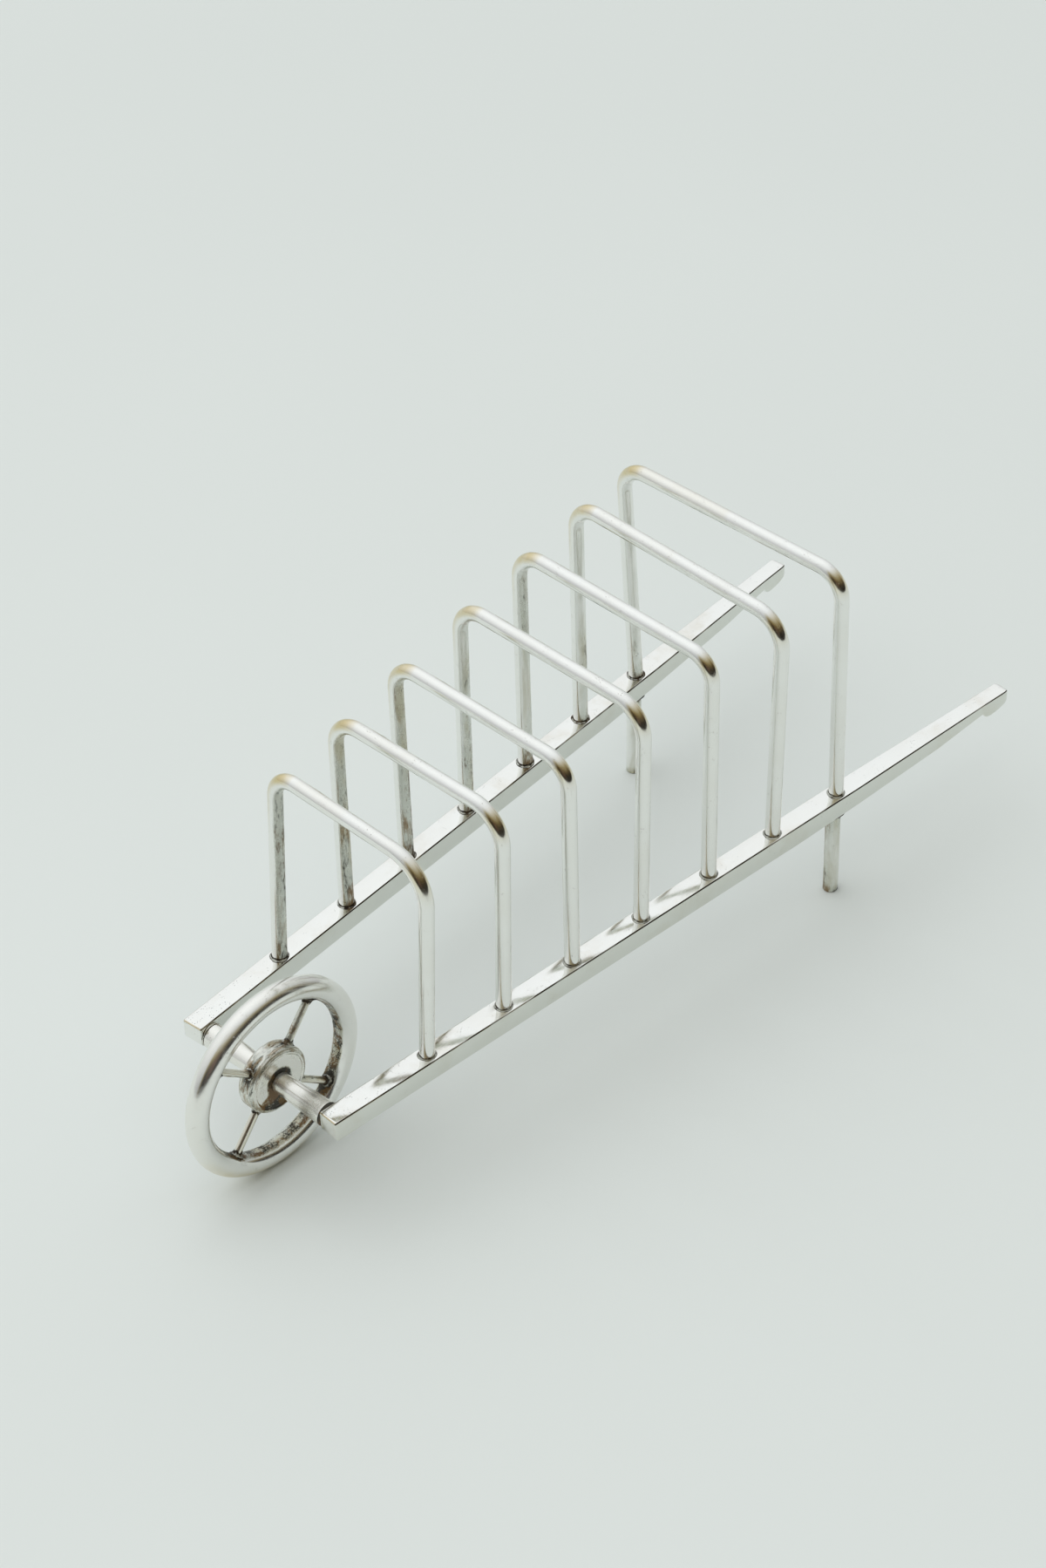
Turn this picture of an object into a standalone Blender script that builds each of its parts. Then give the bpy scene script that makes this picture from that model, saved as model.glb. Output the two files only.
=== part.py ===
"""Toast rack in the form of a wheelbarrow: two rails, seven wire hoops, two legs and a wheel.

Metres, +Z up. +X runs back from the wheel to the handles and +Y to the right-hand rail. The
rails and legs mirror each other across the XZ plane; the hoops' corners, bent by hand, differ
a little from left to right. The origin is on the table, under the middle of the rack.
"""

import math

import bmesh
import bpy
from mathutils import Matrix, Vector

# Wheel
WHEEL_RADIUS = 0.0239
WHEEL_TOWARDS_LEFT = 0.0003
RIM_WIRE_RADIUS = 0.0026
HUB_RADIUS = 0.0080
HUB_HALF_WIDTH = 0.0024
HUB_SHOULDER_RISE = 0.0011
HUB_SHOULDER_WIDTH = 0.0012
SHOULDER_STEPS = 4
SPOKE_RADIUS = 0.00085
SPOKE_COUNT = 4
FIRST_SPOKE_ANGLE = math.radians(51.0)
ARM_ROOT_RADIUS = 0.0022
ARM_END_RADIUS = 0.0029
ARM_FLARE_POWER = 0.7
ARM_STEPS = 8
AXLE_ROD_RADIUS = 0.0012

# Rails: square bars that splay apart towards the handles
AXLE_X = -0.0867
RAIL_SIZE = 0.0052
RAIL_TOP = 0.0275
RAIL_FRONT_AHEAD_OF_AXLE = 0.0032
RAIL_END_BEHIND_AXLE = 0.1973
RAIL_SPLAY = 0.067
RAIL_EDGE = 0.0003
RAIL_FRONT_ROUNDING = 0.0009

# Handle end of each rail: the bar thins to a neck, then swells into a lobe
TAPER_LENGTH = 0.066
GRIP_LENGTH = 0.023
GRIP_DEPTH = 0.0040
NECK_DEPTH = 0.0026
LOBE_LENGTH = 0.0082
LOBE_DEEPEST = 0.0062
LOBE_DEPTH = 0.0043
LOBE_HALF_WIDTH = 0.0020
NARROWING_LENGTH = 0.040
TIP_LENGTH = 0.0024
TIP_DEPTH = 0.0016
TIP_HALF_WIDTH = 0.0016
TIP_BLUNTNESS = 0.0002

# Hoops, front to back: distance behind the first one and lean towards the handles in degrees,
# then for the left and the right corner its height over the rails, how far it lies outside
# the foot below it, and the radius of its bend
WIRE_RADIUS = 0.0017
FIRST_HOOP_BEHIND_AXLE = 0.0241
FIRST_HOOP_HALF_SPAN = 0.0226
HOOPS = (
    (0.0000, 3.4, (0.0501, 0.0004, 0.0100), (0.0509, -0.0005, 0.0061)),
    (0.0215, 1.5, (0.0529, 0.0012, 0.0080), (0.0522, 0.0006, 0.0075)),
    (0.0411, 0.7, (0.0551, 0.0006, 0.0065), (0.0549, 0.0004, 0.0071)),
    (0.0611, 1.7, (0.0577, 0.0010, 0.0075), (0.0576, 0.0002, 0.0072)),
    (0.0812, 1.4, (0.0596, 0.0007, 0.0058), (0.0596, 0.0004, 0.0071)),
    (0.1004, 1.9, (0.0594, 0.0016, 0.0074), (0.0602, 0.0010, 0.0065)),
    (0.1200, -0.3, (0.0623, 0.0017, 0.0060), (0.0599, 0.0017, 0.0068)),
)

# Legs under the last hoop
LEG_BEHIND_AXLE = 0.1433
LEG_LEAN = 0.0009

# Fits
GAP = 0.0003
FOOT_DEPTH = 0.0019
LEG_DEPTH = 0.0015
ROD_DEPTH = 0.0025
SOLDER_HEIGHT = 0.0009
SOLDER_BASE_RADIUS = 0.0025
SOLDER_TOP_RADIUS = 0.0022

ROUND_SIDES = 20
BEND_STEPS = 6

LEFT, RIGHT = -1, 1
SIDE_NAMES = {LEFT: "left", RIGHT: "right"}


def half_span(x):
    """Distance from the middle plane to a rail's centreline."""
    first_hoop_x = AXLE_X + FIRST_HOOP_BEHIND_AXLE
    return FIRST_HOOP_HALF_SPAN + RAIL_SPLAY * (x - first_hoop_x)


# ---------------------------------------------------------------- scene and materials


def clear_scene():
    for obj in list(bpy.data.objects):
        bpy.data.objects.remove(obj, do_unlink=True)


def new_collection(name):
    collection = bpy.data.collections.new(name)
    bpy.context.scene.collection.children.link(collection)
    return collection


def metal(name, colour, roughness):
    material = bpy.data.materials.new(name)
    material.use_nodes = True
    shader = material.node_tree.nodes["Principled BSDF"]
    shader.inputs["Base Color"].default_value = (*colour, 1.0)
    shader.inputs["Roughness"].default_value = roughness
    shader.inputs["Metallic"].default_value = 1.0
    return material


clear_scene()
PARTS = new_collection("toast_rack")
CUTTERS = new_collection("cutters")

FINISHES = {
    "silver": ((0.83, 0.82, 0.79), 0.14),
    "worn_silver": ((0.72, 0.69, 0.63), 0.25),
    "solder": ((0.16, 0.13, 0.11), 0.45),
    "steel": ((0.45, 0.44, 0.43), 0.35),
}


def add_part(name, data, finish, parent=None):
    """Put mesh or curve data in the parts' collection as one named piece."""
    obj = bpy.data.objects.new(name, data)
    PARTS.objects.link(obj)
    data.materials.append(metal(name, *FINISHES[finish]))
    obj.parent = parent
    return obj


def add_cutter(name, mesh):
    obj = bpy.data.objects.new(name, mesh)
    CUTTERS.objects.link(obj)
    obj.display_type = "WIRE"
    obj.hide_render = True
    return obj


def mesh_from(bm, name, smooth_angle=40.0):
    bmesh.ops.recalc_face_normals(bm, faces=bm.faces)
    mesh = bpy.data.meshes.new(name)
    bm.to_mesh(mesh)
    bm.free()
    mesh.shade_smooth()
    mesh.set_sharp_from_angle(angle=math.radians(smooth_angle))
    return mesh


def add_rod(bm, start, end, radius):
    """A plain round rod between two points."""
    start, end = Vector(start), Vector(end)
    run = end - start
    turn = run.to_track_quat("Z", "Y").to_matrix().to_4x4()
    place = Matrix.Translation((start + end) / 2) @ turn
    bmesh.ops.create_cone(
        bm, cap_ends=True, segments=ROUND_SIDES, radius1=radius, radius2=radius,
        depth=run.length, matrix=place,
    )


def turned(name, profile, finish, parent=None):
    """A turned piece on its own Z axis, from a closed loop of (radius, height) points."""
    bm = bmesh.new()
    corners = [bm.verts.new((radius, 0.0, height)) for radius, height in profile]
    for corner, following in zip(corners, corners[1:] + corners[:1]):
        bm.edges.new((corner, following))
    mesh = bpy.data.meshes.new(name)
    bm.to_mesh(mesh)
    bm.free()
    obj = add_part(name, mesh, finish, parent)
    screw = obj.modifiers.new("turn", "SCREW")
    screw.axis = "Z"
    screw.steps = screw.render_steps = ROUND_SIDES
    screw.use_merge_vertices = True
    screw.merge_threshold = 0.00001
    screw.use_smooth_shade = True
    return obj


# ---------------------------------------------------------------- rails


def quarter_ellipse(share):
    """0 at share 0, rising ever more slowly to 1 at share 1."""
    return math.sqrt(max(0.0, 1.0 - (1.0 - min(1.0, share)) ** 2))


def handle_depth(from_end):
    """Depth of the underside below the top face, a distance ahead of the handle's tip."""
    if from_end >= TAPER_LENGTH:
        return RAIL_SIZE
    if from_end >= GRIP_LENGTH:
        share = (from_end - GRIP_LENGTH) / (TAPER_LENGTH - GRIP_LENGTH)
        return GRIP_DEPTH + (RAIL_SIZE - GRIP_DEPTH) * share
    if from_end >= LOBE_LENGTH:
        share = (from_end - LOBE_LENGTH) / (GRIP_LENGTH - LOBE_LENGTH)
        return NECK_DEPTH + (GRIP_DEPTH - NECK_DEPTH) * share
    if from_end >= LOBE_DEEPEST:
        share = (LOBE_LENGTH - from_end) / (LOBE_LENGTH - LOBE_DEEPEST)
        return NECK_DEPTH + (LOBE_DEPTH - NECK_DEPTH) * quarter_ellipse(share)
    return TIP_DEPTH + (LOBE_DEPTH - TIP_DEPTH) * quarter_ellipse(from_end / LOBE_DEEPEST)


def front_rounding(from_front):
    """How far the underside rises towards the rail's front face."""
    share = max(0.0, 1.0 - from_front / RAIL_FRONT_ROUNDING)
    return RAIL_FRONT_ROUNDING * (1.0 - math.sqrt(1.0 - share**2))


def rail_section(along, length):
    """Half-width, top and bottom of the rail at a distance from its front face."""
    from_end = max(length - along, TIP_BLUNTNESS)
    rounding = quarter_ellipse(from_end / TIP_LENGTH)
    width_share = min(1.0, max(0.0, (from_end - LOBE_LENGTH) / NARROWING_LENGTH))
    half_width = LOBE_HALF_WIDTH + (RAIL_SIZE / 2 - LOBE_HALF_WIDTH) * width_share
    half_width = TIP_HALF_WIDTH + (half_width - TIP_HALF_WIDTH) * rounding
    top = -TIP_DEPTH * (1.0 - rounding)
    bottom = -handle_depth(from_end) + front_rounding(along)
    return half_width, top, bottom


def rail_stations(length):
    """Where the bar needs a section: its rounded front, its taper, neck, lobe and tip."""
    from_ends = [TAPER_LENGTH, LOBE_LENGTH + NARROWING_LENGTH, GRIP_LENGTH, LOBE_LENGTH]
    throat = LOBE_LENGTH - LOBE_DEEPEST
    from_ends += [LOBE_LENGTH - throat * share for share in (0.04, 0.15, 0.35, 0.65, 1.0)]
    from_ends += [LOBE_DEEPEST * share for share in (0.8, 0.6, 0.45)]
    from_ends += [TIP_LENGTH * share for share in (1.0, 0.8, 0.6, 0.42, 0.27, 0.16)]
    fronts = [RAIL_FRONT_ROUNDING * share for share in (0.08, 0.3, 0.6, 1.0)]
    return fronts + [length - from_end for from_end in from_ends]


def rail_mesh(name, length):
    """A box, sliced across at each station and then drawn in to the rail's section."""
    bm = bmesh.new()
    to_front = Matrix.Translation((length / 2, 0.0, -RAIL_SIZE / 2))
    size = Matrix.Diagonal((length, RAIL_SIZE, RAIL_SIZE, 1.0))
    bmesh.ops.create_cube(bm, size=1.0, matrix=to_front @ size)
    for station in rail_stations(length):
        bmesh.ops.bisect_plane(
            bm, geom=bm.verts[:] + bm.edges[:] + bm.faces[:], dist=1e-7,
            plane_co=(station, 0.0, 0.0), plane_no=(1.0, 0.0, 0.0),
        )
    for vert in bm.verts:
        half_width, top, bottom = rail_section(vert.co.x, length)
        vert.co.y = math.copysign(half_width, vert.co.y)
        vert.co.z = top if vert.co.z > -RAIL_SIZE / 2 else bottom
    return mesh_from(bm, name)


def rail_holes(side):
    """Blind holes for the hoops' feet, the leg and the end of the axle rod."""
    bm = bmesh.new()
    clear = WIRE_RADIUS + GAP
    above = 0.001
    for behind, *_shape in HOOPS:
        x = AXLE_X + FIRST_HOOP_BEHIND_AXLE + behind
        y = side * half_span(x)
        floor = RAIL_TOP - FOOT_DEPTH - GAP
        add_rod(bm, (x, y, floor), (x, y, RAIL_TOP + above), clear)
    leg_x = AXLE_X + LEG_BEHIND_AXLE
    leg_y = side * half_span(leg_x)
    underside = RAIL_TOP - RAIL_SIZE
    ceiling = underside + LEG_DEPTH + GAP
    add_rod(bm, (leg_x, leg_y, underside - above), (leg_x, leg_y, ceiling), clear)
    inner_face = half_span(AXLE_X) - RAIL_SIZE / 2
    end = side * (inner_face + ROD_DEPTH + GAP)
    start = side * (inner_face - above)
    add_rod(bm, (AXLE_X, start, WHEEL_RADIUS), (AXLE_X, end, WHEEL_RADIUS), AXLE_ROD_RADIUS + GAP)
    return add_cutter("rail_holes_" + SIDE_NAMES[side], mesh_from(bm, "rail_holes"))


def make_rail(side):
    front_x = AXLE_X - RAIL_FRONT_AHEAD_OF_AXLE
    end_x = AXLE_X + RAIL_END_BEHIND_AXLE
    splay_angle = math.atan(RAIL_SPLAY)
    length = (end_x - front_x) / math.cos(splay_angle)
    name = "rail_" + SIDE_NAMES[side]
    rail = add_part(name, rail_mesh(name, length), "silver")
    rail.location = (front_x, side * half_span(front_x), RAIL_TOP)
    rail.rotation_euler.z = side * splay_angle
    bevel = rail.modifiers.new("edges", "BEVEL")
    bevel.width = RAIL_EDGE
    bevel.segments = 2
    bevel.limit_method = "ANGLE"
    bevel.angle_limit = math.radians(50.0)
    holes = rail.modifiers.new("holes", "BOOLEAN")
    holes.operation = "DIFFERENCE"
    holes.object = rail_holes(side)


# ---------------------------------------------------------------- hoops and legs


def rounded_path(corners, radii):
    """The corners joined by straight runs, each inner corner turned into an arc."""
    points = [corners[0]]
    for before, corner, after, radius in zip(corners, corners[1:], corners[2:], radii):
        back = (before - corner).normalized()
        ahead = (after - corner).normalized()
        half_angle = back.angle(ahead) / 2
        middle = corner + (back + ahead).normalized() * radius / math.sin(half_angle)
        start = corner + back * radius / math.tan(half_angle) - middle
        normal = back.cross(ahead)
        sweep = math.pi - 2 * half_angle
        for step in range(BEND_STEPS + 1):
            turn = Matrix.Rotation(-sweep * step / BEND_STEPS, 3, normal)
            points.append(middle + turn @ start)
    points.append(corners[-1])
    return points


def make_hoop(number, behind, lean, *corners):
    x = AXLE_X + FIRST_HOOP_BEHIND_AXLE + behind
    lean = math.radians(lean)
    feet, crown = [], []
    for side, (height, outwards, _bend) in zip((LEFT, RIGHT), corners):
        feet.append(Vector((x, side * half_span(x), RAIL_TOP)))
        rise = Vector((height * math.sin(lean), side * outwards, height * math.cos(lean)))
        crown.append(feet[-1] + rise)
    bends = [bend for _height, _outwards, bend in corners]
    path = rounded_path([feet[0], *crown, feet[1]], bends)
    foot = Vector((0.0, 0.0, -FOOT_DEPTH))
    path = [feet[0] + foot] + path + [feet[1] + foot]
    name = f"hoop_{number}"
    curve = bpy.data.curves.new(name, "CURVE")
    curve.dimensions = "3D"
    curve.bevel_depth = WIRE_RADIUS
    curve.bevel_resolution = 4
    curve.use_fill_caps = True
    spline = curve.splines.new("POLY")
    spline.points.add(len(path) - 1)
    for point, place in zip(spline.points, path):
        point.co = (*place, 1.0)
    add_part(name, curve, "silver")


def solder_fillet(name):
    """A small conical fillet round a wire, just clear of the face at z = 0 that it sits on."""
    bore = WIRE_RADIUS + GAP
    top = GAP + SOLDER_HEIGHT
    profile = [(SOLDER_TOP_RADIUS, top), (SOLDER_BASE_RADIUS, GAP), (bore, GAP), (bore, top)]
    return turned(name, profile, "solder")


def make_hoop_solder(number, behind, side):
    x = AXLE_X + FIRST_HOOP_BEHIND_AXLE + behind
    solder = solder_fillet(f"hoop_{number}_solder_{SIDE_NAMES[side]}")
    solder.location = (x, side * half_span(x), RAIL_TOP)


def make_leg(side):
    """A round leg that leans a little, with its foot cut flat on the table."""
    x = AXLE_X + LEG_BEHIND_AXLE
    y = side * half_span(x)
    underside = RAIL_TOP - RAIL_SIZE
    bm = bmesh.new()
    add_rod(bm, (x, y, 0.0), (x, y, underside + LEG_DEPTH), WIRE_RADIUS)
    for vert in bm.verts:
        if vert.co.z < underside / 2:
            vert.co.x -= LEG_LEAN
    name = "leg_" + SIDE_NAMES[side]
    add_part(name, mesh_from(bm, name), "silver")


def make_leg_solder(side):
    x = AXLE_X + LEG_BEHIND_AXLE
    solder = solder_fillet("leg_solder_" + SIDE_NAMES[side])
    solder.location = (x, side * half_span(x), RAIL_TOP - RAIL_SIZE)
    solder.rotation_euler.x = math.pi


# ---------------------------------------------------------------- wheel


def make_rim(axis):
    bpy.ops.mesh.primitive_torus_add(
        major_radius=WHEEL_RADIUS - RIM_WIRE_RADIUS, minor_radius=RIM_WIRE_RADIUS,
        major_segments=64, minor_segments=14,
    )
    torus = bpy.context.object
    mesh = torus.data
    bpy.data.objects.remove(torus)
    mesh.name = "wheel_rim"
    mesh.shade_smooth()
    rim = add_part("wheel_rim", mesh, "silver", axis)
    rim.rotation_euler.x = math.pi / 2


def make_hub(axis):
    """A drum whose two faces are joined to its side by rounded shoulders."""
    shoulder = []
    for step in range(SHOULDER_STEPS + 1):
        angle = math.pi / 2 * step / SHOULDER_STEPS
        radius = HUB_RADIUS - HUB_SHOULDER_RISE * (1.0 - math.sin(angle))
        height = HUB_HALF_WIDTH - HUB_SHOULDER_WIDTH * (1.0 - math.cos(angle))
        shoulder.append((radius, height))
    outer = shoulder + [(radius, -height) for radius, height in reversed(shoulder)]
    bore = AXLE_ROD_RADIUS + GAP
    profile = outer + [(bore, -HUB_HALF_WIDTH), (bore, HUB_HALF_WIDTH)]
    hub = turned("wheel_hub", profile, "silver", axis)
    hub.rotation_euler.x = math.pi / 2


def spoke_direction(number):
    angle = FIRST_SPOKE_ANGLE + 2 * math.pi * number / SPOKE_COUNT
    return Vector((math.cos(angle), 0.0, math.sin(angle)))


def make_spokes(axis):
    inner = HUB_RADIUS + GAP
    outer = WHEEL_RADIUS - 2 * RIM_WIRE_RADIUS - GAP
    for number in range(SPOKE_COUNT):
        direction = spoke_direction(number)
        bm = bmesh.new()
        add_rod(bm, direction * inner, direction * outer, SPOKE_RADIUS)
        name = f"spoke_{number + 1}"
        add_part(name, mesh_from(bm, name), "worn_silver", axis)


def make_arm(side, axis):
    """The turned sleeve between the hub and a rail, thinnest where it leaves the hub."""
    root = HUB_HALF_WIDTH + GAP
    rail_face = half_span(AXLE_X) - RAIL_SIZE / 2 + side * WHEEL_TOWARDS_LEFT
    tip = rail_face - GAP - ARM_END_RADIUS * RAIL_SPLAY
    flare = ARM_END_RADIUS - ARM_ROOT_RADIUS
    outer = []
    for step in range(ARM_STEPS + 1):
        share = 1.0 - step / ARM_STEPS
        radius = ARM_ROOT_RADIUS + flare * share**ARM_FLARE_POWER
        outer.append((radius, root + (tip - root) * share))
    bore = AXLE_ROD_RADIUS + GAP
    profile = outer + [(bore, root), (bore, tip)]
    arm = turned("axle_arm_" + SIDE_NAMES[side], profile, "silver", axis)
    arm.rotation_euler.x = -side * math.pi / 2


def make_rod(axis):
    end = half_span(AXLE_X) - RAIL_SIZE / 2 + ROD_DEPTH
    bm = bmesh.new()
    left_end = (0.0, WHEEL_TOWARDS_LEFT - end, 0.0)
    right_end = (0.0, WHEEL_TOWARDS_LEFT + end, 0.0)
    add_rod(bm, left_end, right_end, AXLE_ROD_RADIUS)
    add_part("axle_rod", mesh_from(bm, "axle_rod"), "steel", axis)


def make_wheel():
    axis = bpy.data.objects.new("wheel_axis", None)
    PARTS.objects.link(axis)
    axis.location = (AXLE_X, -WHEEL_TOWARDS_LEFT, WHEEL_RADIUS)
    make_rim(axis)
    make_hub(axis)
    make_spokes(axis)
    for side in (LEFT, RIGHT):
        make_arm(side, axis)
    make_rod(axis)


# ---------------------------------------------------------------- assembly


def main():
    for side in (LEFT, RIGHT):
        make_rail(side)
        make_leg(side)
        make_leg_solder(side)
    for number, (behind, lean, *corners) in enumerate(HOOPS, start=1):
        make_hoop(number, behind, lean, *corners)
        for side in (LEFT, RIGHT):
            make_hoop_solder(number, behind, side)
    make_wheel()


main()
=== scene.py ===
"""Looks of the wheelbarrow toast rack: polished silver plate, worn and tarnished in places.

Metres, +Z up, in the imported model's frame. Every CAD piece but the axle rod, which is all but
hidden inside the hub and arms, is stood for by a finer piece of the same size. Each kind of
surface has its own procedural material.
"""

import math

import bmesh
import bpy
from mathutils import Matrix, Vector, noise


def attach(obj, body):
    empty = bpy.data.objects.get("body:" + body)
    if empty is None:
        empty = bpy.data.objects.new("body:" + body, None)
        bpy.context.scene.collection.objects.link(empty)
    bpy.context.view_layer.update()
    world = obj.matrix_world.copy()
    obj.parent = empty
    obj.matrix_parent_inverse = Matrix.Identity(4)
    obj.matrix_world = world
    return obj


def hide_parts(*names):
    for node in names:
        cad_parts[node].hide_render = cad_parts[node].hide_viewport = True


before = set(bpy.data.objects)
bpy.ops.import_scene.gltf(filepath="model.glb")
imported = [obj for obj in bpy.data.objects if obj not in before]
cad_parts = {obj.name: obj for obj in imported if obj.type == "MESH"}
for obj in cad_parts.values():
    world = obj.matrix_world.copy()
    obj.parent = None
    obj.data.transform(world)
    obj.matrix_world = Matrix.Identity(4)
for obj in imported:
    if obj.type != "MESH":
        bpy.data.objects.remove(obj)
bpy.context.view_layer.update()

LEFT, RIGHT = -1, 1
SIDE_NAMES = {LEFT: "left", RIGHT: "right"}
ALONG_X = Vector((1.0, 0.0, 0.0))
ALONG_Y = Vector((0.0, 1.0, 0.0))
UPWARDS = Vector((0.0, 0.0, 1.0))

# ---------------------------------------------------------------- sizes, as the CAD has them

AXLE_X = -0.0867
WHEEL_RADIUS = 0.0239
WHEEL_TOWARDS_LEFT = 0.0003
ROD_HOLE_RADIUS = 0.0014
RIM_WIRE_RADIUS = 0.0026
HUB_RADIUS = 0.0080
HUB_HALF_WIDTH = 0.0024
HUB_SHOULDER_RISE = 0.0011
HUB_SHOULDER_WIDTH = 0.0012
SPOKE_RADIUS = 0.00085
SPOKE_COUNT = 4
FIRST_SPOKE_ANGLE = math.radians(51.0)
ARM_ROOT_RADIUS = 0.0022
ARM_END_RADIUS = 0.0029
ARM_FLARE_POWER = 0.7
ARM_EDGE = 0.0002

RAIL_SIZE = 0.0052
RAIL_TOP = 0.0275
RAIL_FRONT_AHEAD_OF_AXLE = 0.0032
RAIL_END_BEHIND_AXLE = 0.1973
RAIL_SPLAY = 0.067
RAIL_EDGE = 0.0003
RAIL_FRONT_ROUNDING = 0.0009
TAPER_LENGTH = 0.066
GRIP_LENGTH = 0.023
GRIP_DEPTH = 0.0040
NECK_DEPTH = 0.0026
LOBE_LENGTH = 0.0082
LOBE_DEEPEST = 0.0062
LOBE_DEPTH = 0.0043
LOBE_HALF_WIDTH = 0.0020
NARROWING_LENGTH = 0.040
TIP_LENGTH = 0.0017
TOP_ROUNDING = 0.0012
TOP_FALL = 0.0010
TIP_DEPTH = 0.0016
TIP_HALF_WIDTH = 0.0008

WIRE_RADIUS = 0.0017
FIRST_HOOP_BEHIND_AXLE = 0.0241
FIRST_HOOP_HALF_SPAN = 0.0226
# Each hoop: how far behind the first, its lean in degrees, then its left and its right corner
# as (height over the rail, distance outside the rail's centreline, bend radius).
HOOPS = (
    (0.0000, 3.4, (0.0501, 0.0004, 0.0100), (0.0509, -0.0005, 0.0061)),
    (0.0215, 1.5, (0.0529, 0.0012, 0.0080), (0.0522, 0.0006, 0.0075)),
    (0.0411, 0.7, (0.0551, 0.0006, 0.0065), (0.0549, 0.0004, 0.0071)),
    (0.0611, 1.7, (0.0577, 0.0010, 0.0075), (0.0576, 0.0002, 0.0072)),
    (0.0812, 1.4, (0.0596, 0.0007, 0.0058), (0.0596, 0.0004, 0.0071)),
    (0.1004, 1.9, (0.0594, 0.0016, 0.0074), (0.0602, 0.0010, 0.0065)),
    (0.1200, -0.3, (0.0623, 0.0017, 0.0060), (0.0599, 0.0017, 0.0068)),
)
LEG_BEHIND_AXLE = 0.1433
LEG_LEAN = 0.0009
WIRE_SUNK = 0.0008
GAP = 0.0003
SEAT_GAP = 0.0002


def half_span(x):
    """Distance from the middle plane to a rail's centreline."""
    first_hoop_x = AXLE_X + FIRST_HOOP_BEHIND_AXLE
    return FIRST_HOOP_HALF_SPAN + RAIL_SPLAY * (x - first_hoop_x)


def smooth(low, high, value):
    """0 at low, 1 at high, easing in and out between; low may be the larger."""
    share = min(1.0, max(0.0, (value - low) / (high - low)))
    return share * share * (3.0 - 2.0 * share)


def part_turn(step, count):
    """The angle of one of count even steps round a full turn."""
    return 2.0 * math.pi * step / count


# ---------------------------------------------------------------- shader helpers


class Nodes:
    """Short calls for building one node tree."""

    def __init__(self, tree):
        self.tree = tree
        self.coordinates = self.add("ShaderNodeTexCoord").outputs

    def add(self, kind, **settings):
        node = self.tree.nodes.new(kind)
        for key, value in settings.items():
            setattr(node, key, value)
        return node

    def feed(self, socket, value):
        if isinstance(value, bpy.types.NodeSocket):
            self.tree.links.new(value, socket)
        else:
            socket.default_value = value

    def math(self, operation, a, b=0.0, c=0.0, clamp=False):
        node = self.add("ShaderNodeMath", operation=operation, use_clamp=clamp)
        for socket, value in zip(node.inputs, (a, b, c)):
            self.feed(socket, value)
        return node.outputs[0]

    def ramp(self, value, low, high, start=0.0, end=1.0):
        """value from low..high mapped smoothly to start..end."""
        node = self.add("ShaderNodeMapRange", interpolation_type="SMOOTHSTEP")
        for socket, number in zip(node.inputs, (value, low, high, start, end)):
            self.feed(socket, number)
        return node.outputs[0]

    def mix(self, share, a, b):
        """Colour a where share is 0, colour b where it is 1."""
        node = self.add("ShaderNodeMix", data_type="RGBA")
        self.feed(node.inputs["Factor"], share)
        colours = [socket for socket in node.inputs if socket.type == "RGBA"]
        for socket, value in zip(colours, (a, b)):
            self.feed(socket, value if isinstance(value, bpy.types.NodeSocket) else (*value, 1.0))
        return next(socket for socket in node.outputs if socket.type == "RGBA")


class Surface(Nodes):
    """One material's node tree, with its textures and its shader."""

    def __init__(self, name):
        self.material = bpy.data.materials.new(name)
        self.material.use_nodes = True
        super().__init__(self.material.node_tree)
        self.shader = self.tree.nodes["Principled BSDF"]
        self.place = self.coordinates["Object"]

    def scaled(self, vector, scale):
        node = self.add("ShaderNodeMapping")
        self.feed(node.inputs["Vector"], vector)
        node.inputs["Scale"].default_value = scale
        return node.outputs[0]

    def noise(self, scale, detail=3.0, rough=0.5, vector=None, warp=0.0):
        node = self.add("ShaderNodeTexNoise")
        self.feed(node.inputs["Vector"], vector or self.place)
        node.inputs["Scale"].default_value = scale
        node.inputs["Detail"].default_value = detail
        node.inputs["Roughness"].default_value = rough
        node.inputs["Distortion"].default_value = warp
        return node.outputs["Fac"]

    def cells(self, scale):
        node = self.add("ShaderNodeTexVoronoi")
        self.feed(node.inputs["Vector"], self.place)
        node.inputs["Scale"].default_value = scale
        return node.outputs["Distance"]

    def unrolled(self, scale):
        """Where a point lies on its wire as if the wire were straight, scaled per axis."""
        place = self.add("ShaderNodeAttribute", attribute_name="unrolled").outputs["Vector"]
        return self.scaled(place, scale)

    def attribute(self, name):
        return self.add("ShaderNodeAttribute", attribute_name=name).outputs["Fac"]

    def bump(self, height, distance, under=None):
        node = self.add("ShaderNodeBump")
        node.inputs["Strength"].default_value = 1.0
        node.inputs["Distance"].default_value = distance
        self.feed(node.inputs["Height"], height)
        if under is not None:
            self.feed(node.inputs["Normal"], under)
        return node.outputs["Normal"]

    def finish(self, colour, rough, normal=None, metallic=1.0):
        self.feed(self.shader.inputs["Base Color"], colour)
        self.feed(self.shader.inputs["Roughness"], rough)
        self.feed(self.shader.inputs["Metallic"], metallic)
        if normal is not None:
            self.feed(self.shader.inputs["Normal"], normal)
        return self.material


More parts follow.
